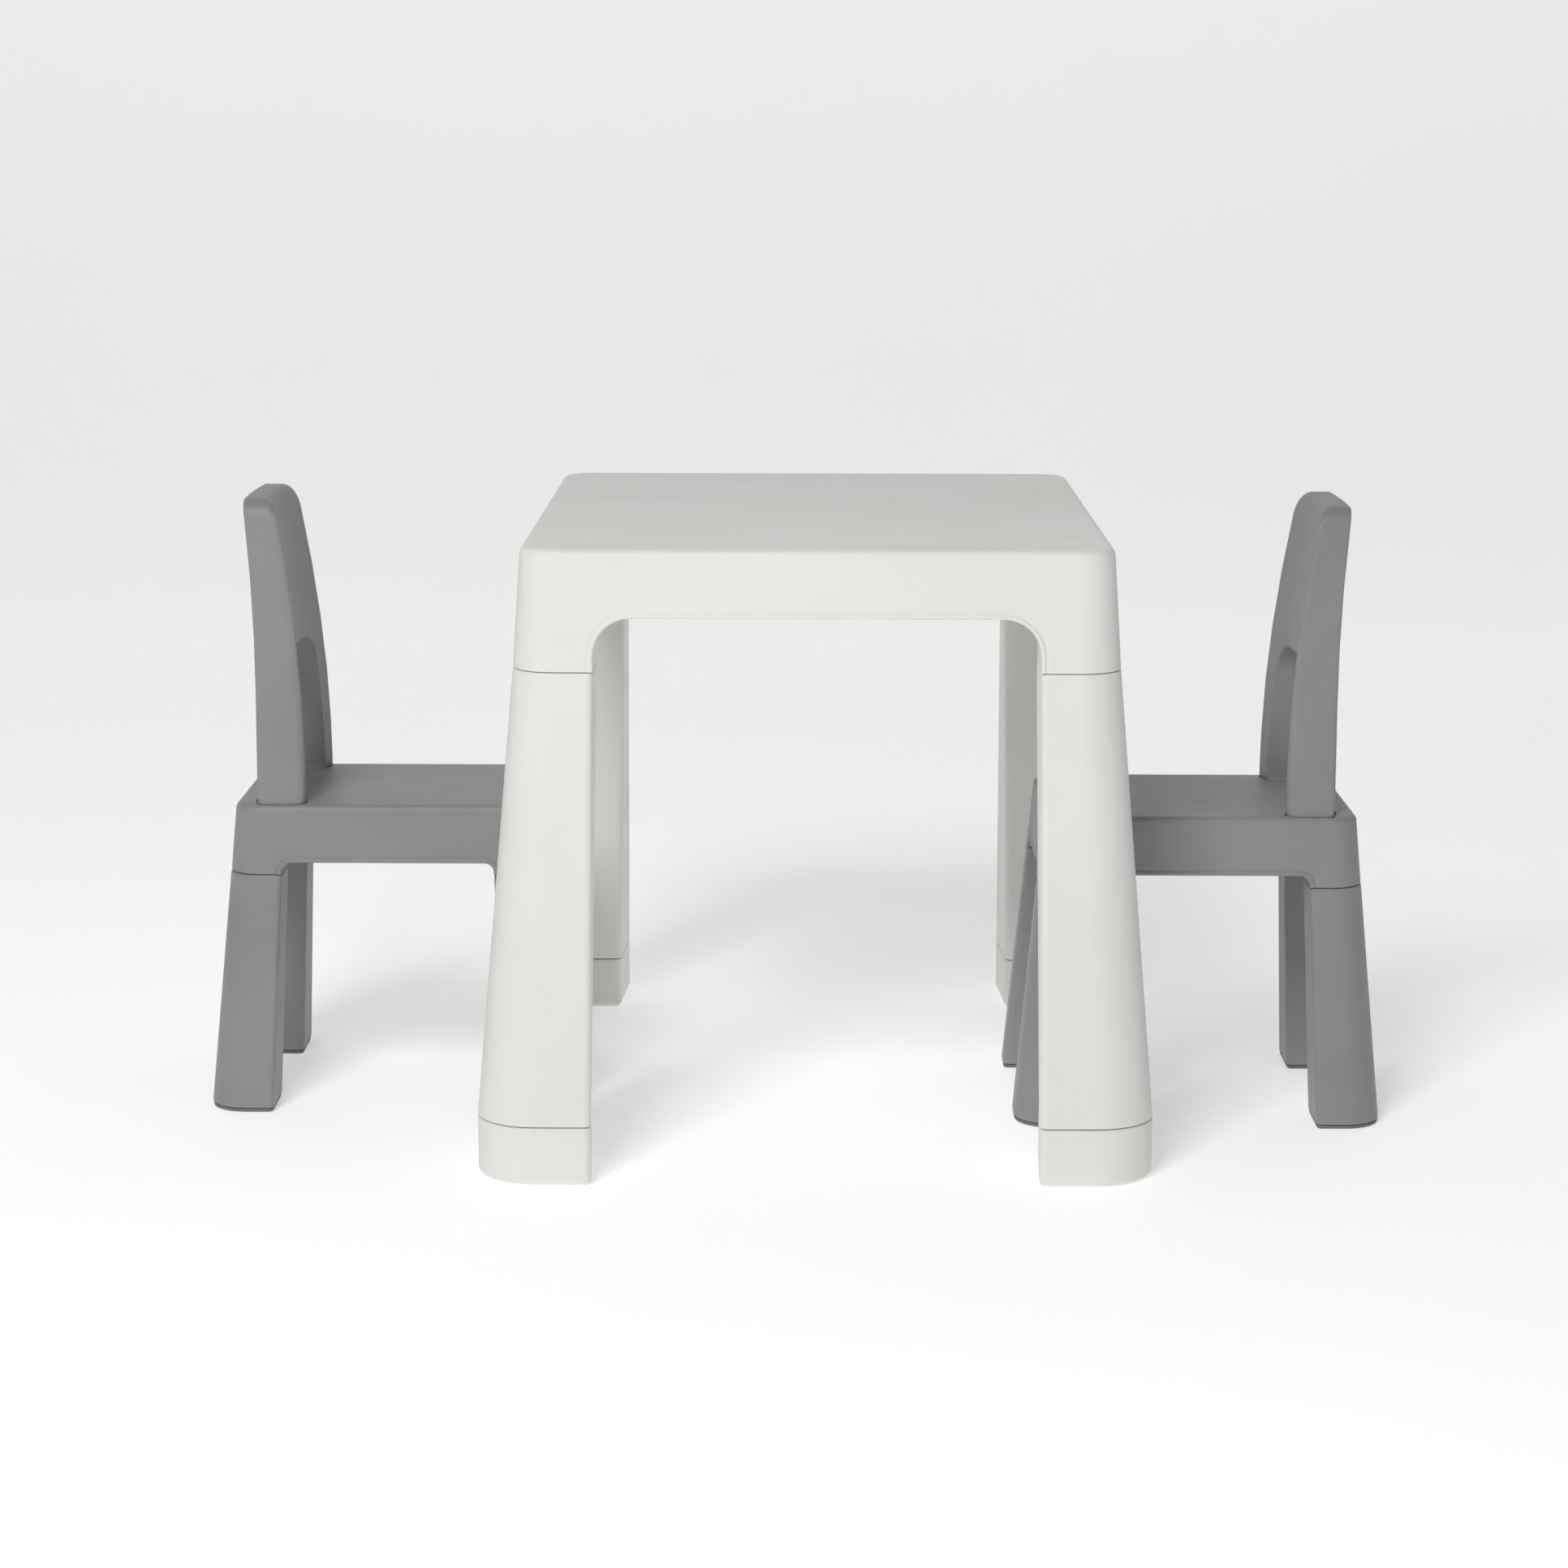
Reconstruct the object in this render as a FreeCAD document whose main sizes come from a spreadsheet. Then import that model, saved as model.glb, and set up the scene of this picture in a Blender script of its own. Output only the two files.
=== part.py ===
"""Kids table with two chairs: hollow moulded shells that plug together.

Frame: origin on the floor under the middle of the whole set, +Z up.
The chairs face each other along X: the left one sits at -X and looks towards +X.
Every piece is a document object whose sizes come from the sheet named Sizes, in millimetres.
"""
import FreeCAD, Part
import math
import os
import re
import Sketcher

doc = FreeCAD.newDocument("kids_table_and_chairs")
Vector = FreeCAD.Vector
UP = Vector(0, 0, 1)

# ---------------------------------------------------------------- driving dimensions

SIZES = {
    # table, overall
    "table_height": (500, "floor to top surface, on the foot extensions"),
    "table_length": (589, "top surface along Y"),
    "table_width": (464, "top surface along X, between the chairs"),
    "table_middle": (19.15, "table centre along X from the middle of the set"),
    "table_corner": (27, "plan radius of the top's corners"),
    "table_edge": (6, "rounding of the top's edge"),
    "skirt_flare": (6.4, "outward lean of the skirt, top to upper joint line"),
    "upper_joint": (404, "height where the legs plug into the top"),
    "lower_joint": (47, "height where the legs plug into the foot extensions"),
    "skirt_bottom": (446, "height of the skirt's lower edge"),
    "skirt_corner": (29, "radius between skirt and leg stub"),
    "table_wall": (4, "wall of the top moulding"),
    "rib_depth": (22, "depth of the stiffening ribs under the top"),
    "rib_wall": (2.5, "thickness of a rib"),
    "table_rib_pitch": (88, "distance between ribs"),
    # table legs
    "leg_width_top": (64.5, "leg across its faces at the upper joint"),
    "leg_width_low": (93, "leg across its faces at the lower joint"),
    "leg_splay": (30.5, "outward lean of the outer faces down the leg"),
    "leg_relief": (5, "set-back of the inner corner at the lower joint"),
    "leg_corner_low": (47, "plan radius of the outer corner at the lower joint"),
    "leg_edge": (5, "radius of the three other upright edges"),
    "leg_wall": (3.2, "wall of a leg"),
    "spigot_height": (38, "height of the leg's plug above the upper joint"),
    "spigot_gap": (0.5, "clearance all round a plug"),
    "foot_edge": (5, "rounding under the foot extensions"),
    "foot_floor": (4, "thickness of the foot's closed bottom"),
    "foot_plug": (34, "height of the foot's plug above the lower joint"),
    "foot_plug_inset": (8, "foot plug in from the outer faces"),
    "skirt_bevel": (1.5, "bevel along the lower edge of both skirts"),
    "joint_groove": (0.8, "bevel on both sides of a joint line"),
    # chairs
    "seat_height": (259.5, "floor to seat surface"),
    "seat_length": (258, "seat front to back"),
    "seat_width": (199, "seat side to side"),
    "seat_corner": (22, "plan radius of the seat's corners"),
    "seat_edge": (5, "rounding of the seat's edge"),
    "seat_flare": (5.6, "outward lean of the seat's skirt"),
    "seat_joint": (201, "height where the chair legs plug in"),
    "seat_skirt_bottom": (211, "height of the seat skirt's lower edge"),
    "seat_skirt_corner": (8, "radius between seat skirt and leg stub"),
    "seat_wall": (3.5, "wall of the seat moulding"),
    "seat_rib_depth": (14, "depth of the ribs under the seat"),
    "seat_rib_pitch": (44, "distance between seat ribs"),
    "seat_leg_top": (45.5, "chair leg across its faces at the joint"),
    "seat_leg_low": (55.5, "chair leg across its faces at the floor"),
    "seat_leg_splay": (18.5, "outward lean of the chair leg's outer faces"),
    "seat_leg_corner_low": (31, "plan radius of the leg's outer corner at the floor"),
    "seat_leg_edge": (4, "radius of the three other upright edges"),
    "seat_leg_wall": (2.8, "wall of a chair leg"),
    "seat_spigot": (24, "height of the chair leg's plug"),
    "pad_thickness": (3, "anti-slip pad under each chair leg"),
    "pad_inset": (0.7, "pad edge in from the leg's faces"),
    # chair backrests
    "back_height": (512, "floor to the top of the backrest"),
    "back_width_low": (194, "backrest across at the seat"),
    "back_width_top": (140, "backrest across at the top"),
    "back_front": (-66, "front face at the seat, from the chair's middle"),
    "back_rear": (-113, "rear face at the seat, from the chair's middle"),
    "back_front_bend": (280, "height where the front face starts to lean back"),
    "back_rear_bend": (350, "height where the rear face starts to lean back"),
    "back_front_lean": (20, "lean of the front face up to the top"),
    "back_rear_lean": (9, "lean of the rear face up to the top"),
    "back_hollow": (16, "depth of the front face's hollow across the back"),
    "back_top_corner": (16, "radius of the two top corners"),
    "arch_height": (381, "floor to the top of the hand hole"),
    "arch_width_low": (144, "hand hole across at the seat"),
    "arch_width_top": (122, "hand hole across near its top"),
    "arch_corner": (30, "radius of the hand hole's top corners"),
    "tongue_depth": (22, "length of the plug under each post of the backrest"),
    "tongue_long": (27, "plug size front to back"),
    "tongue_wide": (14, "plug size side to side"),
    "tongue_gap": (0.6, "clearance round a plug"),
    "post_taper": (0.9, "how far the posts' sides lean in between the plugs and the seat"),
    "rebate_depth": (1.5, "sunk seat of each post in the seat surface"),
    "rebate_gap": (0.9, "gap round each post in its rebate"),
    # places of the chairs
    "left_chair_x": (-339.45, "left chair's middle along X"),
    "left_chair_y": (1.5, "left chair's middle along Y"),
    "right_chair_x": (339.45, "right chair's middle along X"),
    "right_chair_y": (-38, "right chair's middle along Y"),
}

sheet = doc.addObject("Spreadsheet::Sheet", "Sizes")
for row, (alias, (value, meaning)) in enumerate(SIZES.items(), start=1):
    sheet.set(f"A{row}", alias)
    sheet.set(f"B{row}", str(value))
    sheet.set(f"C{row}", meaning)
    sheet.setAlias(f"B{row}", alias)
doc.recompute()


def size(alias):
    """The number in one cell of the sheet."""
    return float(sheet.get(alias))


def with_sheet(expression):
    """Turn bare cell names into references to the sheet."""
    return re.sub("[a-z_]+", lambda word: "Sizes." + word[0] if word[0] in SIZES else word[0], expression)


# ---------------------------------------------------------------- helpers: sketches

def origin_plane(body, role):
    """One of a body's own three origin planes."""
    return next(item for item in body.Origin.OriginFeatures if item.Role == role)


def new_body(label, x="0", y="0", turn=0):
    """A body that stands at x, y and is turned about Z by whole degrees."""
    body = doc.addObject("PartDesign::Body", label)
    body.Label = label
    body.Placement = FreeCAD.Placement(Vector(), FreeCAD.Rotation(UP, turn))
    body.setExpression("Placement.Base.x", with_sheet(x))
    body.setExpression("Placement.Base.y", with_sheet(y))
    return body


def new_sketch(body, name, role="XY_Plane", offset="0"):
    """A sketch on an origin plane, moved along that plane's normal."""
    sketch = body.newObject("Sketcher::SketchObject", name)
    sketch.AttachmentSupport = (origin_plane(body, role), "")
    sketch.MapMode = "FlatFace"
    sketch.setExpression("AttachmentOffset.Base.z", with_sheet(offset))
    return sketch


def add_outline(sketch, corners):
    """Closed outline through corners (x, y, radius), all given as expressions.

    A corner is a construction point held at its place; the two sides pass through it, and a
    corner with a radius is rounded by an arc tangent to both sides.
    """
    numbers = [tuple(float(sketch.evalExpression(with_sheet(item))) for item in corner) for corner in corners]
    points = [Vector(x, y, 0) for x, y, radius in numbers]
    turning = sum(point.cross(points[index - 1]).z for index, point in enumerate(points))
    if turning > 0:
        # drawn clockwise: an arc of a sketch always runs the other way, so turn the outline round
        corners, numbers, points = corners[::-1], numbers[::-1], points[::-1]
    count = len(corners)
    starts, ends, arcs = [], [], []
    for index, (x, y, radius) in enumerate(numbers):
        here, before, after = points[index], points[index - 1], points[(index + 1) % count]
        towards_before = (before - here).normalize()
        towards_after = (after - here).normalize()
        half_angle = towards_before.getAngle(towards_after) / 2
        if radius > 0:
            run = radius / math.tan(half_angle)
            bisector = (towards_before + towards_after).normalize()
            reach = (run * run + radius * radius) ** 0.5
            middle = here + bisector * (reach - radius)
            arc = Part.Arc(here + towards_before * run, middle, here + towards_after * run)
        else:
            run, arc = 0, None
        ends.append(here + towards_before * run)
        starts.append(here + towards_after * run)
        arcs.append(arc)

    pins, lines, rounds = [], [], []
    for index in range(count):
        pins.append(sketch.addGeometry(Part.Point(points[index]), True))
    for index in range(count):
        lines.append(sketch.addGeometry(Part.LineSegment(starts[index], ends[(index + 1) % count])))
    for arc in arcs:
        rounds.append(None if arc is None else sketch.addGeometry(arc))

    for index, (x, y, radius) in enumerate(corners):
        line_in, line_out, pin, arc = lines[index - 1], lines[index], pins[index], rounds[index]
        across, up = numbers[index][:2]
        for kind, expression, value in (("DistanceX", x, across), ("DistanceY", y, up)):
            place = sketch.addConstraint(Sketcher.Constraint(kind, -1, 1, pin, 1, value))
            sketch.setExpression(f"Constraints[{place}]", with_sheet(expression))
        if arc is None:
            sketch.addConstraint(Sketcher.Constraint("Coincident", line_in, 2, pin, 1))
            sketch.addConstraint(Sketcher.Constraint("Coincident", line_out, 1, pin, 1))
            continue
        sketch.addConstraint(Sketcher.Constraint("PointOnObject", pin, 1, line_in))
        sketch.addConstraint(Sketcher.Constraint("PointOnObject", pin, 1, line_out))
        arc_curve = sketch.Geometry[arc]
        first_end = 1 if arc_curve.StartPoint.distanceToPoint(ends[index]) < 1e-6 else 2
        sketch.addConstraint(Sketcher.Constraint("Tangent", line_in, 2, arc, first_end))
        sketch.addConstraint(Sketcher.Constraint("Tangent", line_out, 1, arc, 3 - first_end))
        width = sketch.addConstraint(Sketcher.Constraint("Radius", arc, arc_curve.Radius))
        sketch.setExpression(f"Constraints[{width}]", with_sheet(radius))


def rectangle(x_low, x_high, y_low, y_high, radius="0"):
    """Corners of an upright rectangle."""
    return [(x_low, y_low, radius), (x_high, y_low, radius),
            (x_high, y_high, radius), (x_low, y_high, radius)]


def centred(length, width, radius):
    """Corners of a rectangle about the origin."""
    half_x, half_y = f"( {length} ) / 2", f"( {width} ) / 2"
    return rectangle(f"-{half_x}", half_x, f"-{half_y}", half_y, radius)


def outline_sketch(body, name, corners, role="XY_Plane", offset="0"):
    sketch = new_sketch(body, name, role, offset)
    add_outline(sketch, corners)
    return sketch


# ---------------------------------------------------------------- helpers: features

def loft(body, name, low, high, cut=False):
    """Straight-sided loft between two sketches, drawn downwards so that its faces can be rounded."""
    feature = body.newObject("PartDesign::SubtractiveLoft" if cut else "PartDesign::AdditiveLoft", name)
    feature.Profile = high
    feature.Sections = [low]
    feature.Ruled = True
    doc.recompute()
    return feature


def extrude(body, name, sketch, length=None, cut=False, both_ways=False, up=False, down=False):
    """Pad or pocket of a sketch; with no length a pocket goes right through."""
    before = body.Tip.Shape.Volume if cut else 0
    feature = body.newObject("PartDesign::Pocket" if cut else "PartDesign::Pad", name)
    feature.Profile = sketch
    if length is None:
        feature.Type = "ThroughAll"
    else:
        feature.setExpression("Length", with_sheet(length))
    feature.Midplane = both_ways
    # unless it is reversed, a pad runs up its sketch's normal and a pocket down it
    feature.Reversed = (cut and up) or down
    doc.recompute()
    if cut and not feature.Shape.Volume < before - 1e-3:
        raise RuntimeError(f"{body.Label}.{name} cuts nothing")
    return feature


def edge_names(shape, wanted):
    """Names of the edges that a test accepts."""
    return [f"Edge{number}" for number, edge in enumerate(shape.Edges, start=1) if wanted(edge)]


def fillet(body, name, radius, wanted):
    """Round the edges of the body's tip that a test accepts."""
    base = body.Tip
    edges = edge_names(base.Shape, wanted)
    feature = body.newObject("PartDesign::Fillet", name)
    feature.Base = (base, edges)
    feature.setExpression("Radius", with_sheet(radius))
    doc.recompute()
    return feature


def bevel(body, name, width, wanted):
    """Bevel the edges of the body's tip that a test accepts."""
    base = body.Tip
    edges = edge_names(base.Shape, wanted)
    feature = body.newObject("PartDesign::Chamfer", name)
    feature.Base = (base, edges)
    feature.setExpression("Size", with_sheet(width))
    doc.recompute()
    return feature


def lies_at(height):
    """Test for edges that lie level at one height."""
    return lambda edge: abs(edge.BoundBox.ZMin - height) < 0.01 and abs(edge.BoundBox.ZMax - height) < 0.01


# ---------------------------------------------------------------- leg outlines

def leg_corners(width, reach, relief, outer, edge, inset="0"):
    """Plan of a leg whose outer corner points to +X +Y.

    reach is how far the outer faces stand out from the joint's corner, relief how far the
    inner corner is set back, inset how far the whole outline is drawn in.
    """
    face = f"{reach} - {inset}"
    inner = f"{reach} - {width} + {inset}"
    back = f"{reach} - {width} + {relief} + {inset}"
    return [(face, face, outer), (inner, face, edge), (back, back, edge), (face, inner, edge)]


def table_leg_corners(level, inset="0"):
    if level == "top":
        corner = f"table_corner + skirt_flare - {inset}"
        return leg_corners("leg_width_top", "0", "0", corner, "leg_edge", inset)
    corner = f"leg_corner_low - {inset}"
    return leg_corners("leg_width_low", "leg_splay", "leg_relief", corner, "leg_edge", inset)


def chair_leg_corners(level, inset="0"):
    if level == "top":
        corner = f"seat_corner + seat_flare - {inset}"
        return leg_corners("seat_leg_top", "0", "0", corner, "seat_leg_edge", inset)
    corner = f"seat_leg_corner_low - {inset}"
    return leg_corners("seat_leg_low", "seat_leg_splay", "0", corner, "seat_leg_edge", inset)


# ---------------------------------------------------------------- moulded tops: table and seat

def moulded_top(body, names, openings):
    """Shell with a flat deck, a leaning skirt, four leg stubs and arched sides.

    names maps the general words below to cells of the sheet.
    """
    cell = names.get
    deck_outline = outline_sketch(body, "DeckOutline", centred(cell("length"), cell("width"), cell("corner")),
                                  offset=cell("height"))
    block = extrude(body, "Block", deck_outline, f"{cell('height')} - {cell('joint')}", down=True)
    lean = f"atan( {cell('flare')} / ( {cell('height')} - {cell('joint')} ) )"
    block.setExpression("TaperAngle", with_sheet(lean))
    doc.recompute()
    fillet(body, "DeckEdge", cell("edge"), lies_at(size(cell("height"))))

    # arched openings between the leg stubs, right through along Y and along X
    for name, role, side in openings:
        half = f"( {cell(side)} / 2 + {cell('flare')} - {cell('leg')} )"
        low = f"{cell('joint')} - 1"
        arch = [(f"-{half}", low, "0"), (half, low, "0"),
                (half, cell("skirt"), cell("arch")), (f"-{half}", cell("skirt"), cell("arch"))]
        extrude(body, name, outline_sketch(body, name + "Outline", arch, role), cut=True, both_ways=True)

    # round the stubs' upright edges and the skirt's lower edge, where they meet the outside
    outer_x = size(cell("length")) / 2 - 1
    outer_y = size(cell("width")) / 2 - 1
    joint = size(cell("joint"))
    deck = size(cell("height"))

    def on_an_opening(edge):
        box = edge.BoundBox
        outside = box.XMin > outer_x or box.XMax < -outer_x or box.YMin > outer_y or box.YMax < -outer_y
        rises_from_joint = box.ZMax > joint + 1 and box.ZMax < deck - 10
        corner_of_set = abs(box.Center.x) > outer_x - 12 and abs(box.Center.y) > outer_y - 12
        return outside and rises_from_joint and not corner_of_set

    bevel(body, "OpeningBevel", cell("lip"), on_an_opening)
    bevel(body, "JointBevel", "joint_groove", lies_at(joint))


def hollow_below(body, names):
    """Take out the inside of a moulded top: two crossing bays and four leg sockets."""
    cell = names.get
    wall, joint = cell("wall"), cell("joint")
    depth = f"{cell('height')} - {cell('joint')} - {wall}"
    inner = {side: f"( {cell(side)} / 2 - {wall} )" for side in ("length", "width")}
    stub = {side: f"( {cell(side)} / 2 + {cell('flare')} - {cell('leg')} )" for side in ("length", "width")}
    bays = [("LongBay", inner["length"], stub["width"]), ("CrossBay", stub["length"], inner["width"])]
    for name, half_x, half_y in bays:
        bay = rectangle(f"-{half_x}", half_x, f"-{half_y}", half_y, "2")
        sketch = outline_sketch(body, name + "Outline", bay, offset=joint)
        extrude(body, name, sketch, depth, cut=True, up=True)
    sockets = new_sketch(body, "SocketOutline", offset=joint)
    for sign_x in ("", "-"):
        for sign_y in ("", "-"):
            near_x, far_x = f"{sign_x}( {stub['length']} + {wall} )", f"{sign_x}{inner['length']}"
            near_y, far_y = f"{sign_y}( {stub['width']} + {wall} )", f"{sign_y}{inner['width']}"
            add_outline(sockets, [(near_x, near_y, "2"), (far_x, near_y, "2"),
                                  (far_x, far_y, cell("socket_corner")), (near_x, far_y, "2")])
    extrude(body, "Sockets", sockets, cell("socket_depth"), cut=True, up=True)


def ribs(body, names, count_x, count_y):
    """Crossing ribs under the deck, from the skirt's inner face to the other side."""
    cell = names.get
    level = f"{cell('height')} - {cell('wall')} - {cell('rib_depth')}"
    half = {side: f"( {cell(side)} / 2 - {cell('wall')} / 2 )" for side in ("length", "width")}
    for name, count, along_x in (("RibsAcross", count_x, False), ("RibsAlong", count_y, True)):
        sketch = new_sketch(body, name + "Outline", offset=level)
        for index in range(count):
            place = f"{cell('rib_pitch')} * {index - (count - 1) / 2}"
            low, high = f"{place} - rib_wall / 2", f"{place} + rib_wall / 2"
            if along_x:
                add_outline(sketch, rectangle(f"-{half['length']}", half["length"], low, high))
            else:
                add_outline(sketch, rectangle(low, high, f"-{half['width']}", half["width"]))
        extrude(body, name, sketch, f"{cell('rib_depth')} + 1")


# ---------------------------------------------------------------- table

TABLE = {
    "length": "table_width", "width": "table_length", "height": "table_height", "corner": "table_corner",
    "edge": "table_edge", "flare": "skirt_flare", "joint": "upper_joint",
    "skirt": "skirt_bottom", "arch": "skirt_corner", "wall": "table_wall", "leg": "leg_width_top",
    "rib_depth": "rib_depth", "rib_pitch": "table_rib_pitch", "lip": "skirt_bevel",
    "socket_corner": "table_corner - table_wall", "socket_depth": "table_height - upper_joint - table_wall",
}
OPENINGS = [("EndArches", "XZ_Plane", "length"), ("SideArches", "YZ_Plane", "width")]

# the four corners of a plan, each with the turn that points a leg's outer corner to it
CORNERS = [("rear_right", "", "", 0), ("rear_left", "-", "", 90),
           ("front_left", "-", "-", 180), ("front_right", "", "-", 270)]


def table_top():
    body = new_body("tabletop", x="table_middle")
    moulded_top(body, TABLE, OPENINGS)
    hollow_below(body, TABLE)
    ribs(body, TABLE, 3, 5)
    return body


def upright_box(corners, wall):
    """Draw a quadrilateral in by a wall, moving each corner towards the others."""
    (x0, y0, r0), (x1, y1, r1), (x2, y2, r2), (x3, y3, r3) = corners
    return [(f"{x0} - {wall}", f"{y0} - {wall}", r0), (f"{x1} + {wall}", f"{y1} - {wall}", r1),
            (f"{x2} + {wall}", f"{y2} + {wall}", r2), (f"{x3} - {wall}", f"{y3} + {wall}", r3)]


def table_leg(corner, sign_x, sign_y, turn):
    """Tapered tube, closed at the top by a deck that carries the plug."""
    body = new_body(f"table_leg_{corner}", turn=turn,
                    x=f"table_middle + {sign_x}( table_width / 2 + skirt_flare )",
                    y=f"{sign_y}( table_length / 2 + skirt_flare )")
    top = outline_sketch(body, "TopOutline", table_leg_corners("top"), offset="upper_joint")
    low = outline_sketch(body, "LowOutline", table_leg_corners("low"), offset="lower_joint")
    loft(body, "Tube", low, top)
    bevel(body, "JointBevel", "joint_groove",
          lambda edge: lies_at(size("upper_joint"))(edge) or lies_at(size("lower_joint"))(edge))
    bore_top = outline_sketch(body, "BoreTop", table_leg_corners("top", "leg_wall"),
                              offset="upper_joint - leg_wall")
    bore_low = outline_sketch(body, "BoreLow", table_leg_corners("low", "leg_wall"), offset="lower_joint")
    loft(body, "Bore", bore_low, bore_top, cut=True)
    # the plug fits the socket between the stub's walls: skirt flare plus wall outside, wall inside
    outside = "( skirt_flare + table_wall + spigot_gap )"
    inside = "( leg_width_top - table_wall - spigot_gap )"
    box = [(f"-{outside}", f"-{outside}", "table_corner - table_wall - spigot_gap"),
           (f"-{inside}", f"-{outside}", "2"), (f"-{inside}", f"-{inside}", "2"),
           (f"-{outside}", f"-{inside}", "2")]
    extrude(body, "Plug", outline_sketch(body, "PlugOutline", box, offset="upper_joint"), "spigot_height")
    hole = upright_box(box, "leg_wall")
    extrude(body, "PlugBore", outline_sketch(body, "PlugBoreOutline", hole, offset="upper_joint"),
            "spigot_height", cut=True, up=True)
    return body


def table_foot(corner, sign_x, sign_y, turn):
    """Foot extension: a closed cup under the leg with a tube that plugs up into it."""
    body = new_body(f"foot_extension_{corner}", turn=turn,
                    x=f"table_middle + {sign_x}( table_width / 2 + skirt_flare )",
                    y=f"{sign_y}( table_length / 2 + skirt_flare )")
    extrude(body, "Cup", outline_sketch(body, "CupOutline", table_leg_corners("low")), "lower_joint")
    fillet(body, "BottomEdge", "foot_edge", lies_at(0))
    bevel(body, "JointBevel", "joint_groove", lies_at(size("lower_joint")))
    inside = outline_sketch(body, "CupBoreOutline", table_leg_corners("low", "leg_wall"), offset="foot_floor")
    extrude(body, "CupBore", inside, "lower_joint - foot_floor", cut=True, up=True)
    tube = outline_sketch(body, "TubeOutline", table_leg_corners("low", "foot_plug_inset"),
                          offset="foot_floor - 1")
    extrude(body, "Tube", tube, "lower_joint + foot_plug - foot_floor + 1")
    bore = table_leg_corners("low", "( foot_plug_inset + leg_wall )")
    extrude(body, "TubeBore", outline_sketch(body, "TubeBoreOutline", bore, offset="foot_floor"),
            "lower_joint + foot_plug - foot_floor", cut=True, up=True)
    return body


# ---------------------------------------------------------------- chairs

SEAT = {
    "length": "seat_length", "width": "seat_width", "height": "seat_height", "corner": "seat_corner",
    "edge": "seat_edge", "flare": "seat_flare", "joint": "seat_joint",
    "skirt": "seat_skirt_bottom", "arch": "seat_skirt_corner", "wall": "seat_wall", "leg": "seat_leg_top",
    "rib_depth": "seat_rib_depth", "rib_pitch": "seat_rib_pitch", "lip": "skirt_bevel",
    "socket_corner": "seat_corner - seat_wall", "socket_depth": "seat_height - seat_joint - seat_wall",
}


def post_corners(grow):
    """Plan of the two posts of the backrest where they meet the seat."""
    low_x, high_x = f"back_rear - {grow}", f"back_front + {grow}"
    outer = f"( back_width_low / 2 - post_taper + {grow} )"
    inner = f"( arch_width_low / 2 - post_taper - {grow} )"
    return [rectangle(low_x, high_x, inner, outer, "3"),
            rectangle(low_x, high_x, f"-{outer}", f"-{inner}", "3")]


def tongue_corners(grow):
    """Plan of the two plugs under the posts."""
    middle_x = "( back_rear + back_front ) / 2"
    middle_y = "( back_width_low + arch_width_low ) / 4"
    half_x, half_y = f"( tongue_long / 2 + {grow} )", f"( tongue_wide / 2 + {grow} )"
    low_x, high_x = f"{middle_x} - {half_x}", f"{middle_x} + {half_x}"
    return [rectangle(low_x, high_x, f"{middle_y} - {half_y}", f"{middle_y} + {half_y}", "2"),
            rectangle(low_x, high_x, f"-{middle_y} - {half_y}", f"-{middle_y} + {half_y}", "2")]


def outlines_sketch(body, name, shapes, offset):
    sketch = new_sketch(body, name, offset=offset)
    for corners in shapes:
        add_outline(sketch, corners)
    return sketch


def seat(side, x, y, turn):
    body = new_body(f"{side}_chair_seat", x, y, turn)
    moulded_top(body, SEAT, OPENINGS)
    hollow_below(body, SEAT)
    ribs(body, SEAT, 3, 2)
    # boxes under the deck that hold the backrest's plugs
    level = "seat_height - seat_wall - tongue_depth"
    boxes = outlines_sketch(body, "PlugBoxOutline", tongue_corners("tongue_gap + 2.5"), level)
    extrude(body, "PlugBoxes", boxes, "tongue_depth + 1")
    slots = outlines_sketch(body, "SlotOutline", tongue_corners("tongue_gap"), "seat_height")
    extrude(body, "Slots", slots, "tongue_depth + 2", cut=True)
    rebates = outlines_sketch(body, "RebateOutline", post_corners("rebate_gap"), "seat_height")
    extrude(body, "Rebates", rebates, "rebate_depth", cut=True)
    return body


def chair_leg(side, corner, turn, place_x, place_y):
    body = new_body(f"{side}_chair_leg_{corner}", place_x, place_y, turn)
    top = outline_sketch(body, "TopOutline", chair_leg_corners("top"), offset="seat_joint")
    low = outline_sketch(body, "LowOutline", chair_leg_corners("low"), offset="pad_thickness")
    loft(body, "Tube", low, top)
    bevel(body, "JointBevel", "joint_groove",
          lambda edge: lies_at(size("seat_joint"))(edge) or lies_at(size("pad_thickness"))(edge))
    bore_top = outline_sketch(body, "BoreTop", chair_leg_corners("top", "seat_leg_wall"),
                              offset="seat_joint - seat_leg_wall")
    bore_low = outline_sketch(body, "BoreLow", chair_leg_corners("low", "seat_leg_wall"),
                              offset="pad_thickness + 4")
    loft(body, "Bore", bore_low, bore_top, cut=True)
    outside = "( seat_flare + seat_wall + spigot_gap )"
    inside = "( seat_leg_top - seat_wall - spigot_gap )"
    box = [(f"-{outside}", f"-{outside}", "seat_corner - seat_wall - spigot_gap"),
           (f"-{inside}", f"-{outside}", "2"), (f"-{inside}", f"-{inside}", "2"),
           (f"-{outside}", f"-{inside}", "2")]
    extrude(body, "Plug", outline_sketch(body, "PlugOutline", box, offset="seat_joint"), "seat_spigot")
    hole = upright_box(box, "seat_leg_wall")
    extrude(body, "PlugBore", outline_sketch(body, "PlugBoreOutline", hole, offset="seat_joint"),
            "seat_spigot", cut=True, up=True)
    return body


def chair_pad(side, corner, turn, place_x, place_y):
    body = new_body(f"{side}_chair_pad_{corner}", place_x, place_y, turn)
    pad = outline_sketch(body, "PadOutline", chair_leg_corners("low", "pad_inset"))
    extrude(body, "Pad", pad, "pad_thickness")
    fillet(body, "PadEdge", "pad_inset", lies_at(0))
    return body


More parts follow.
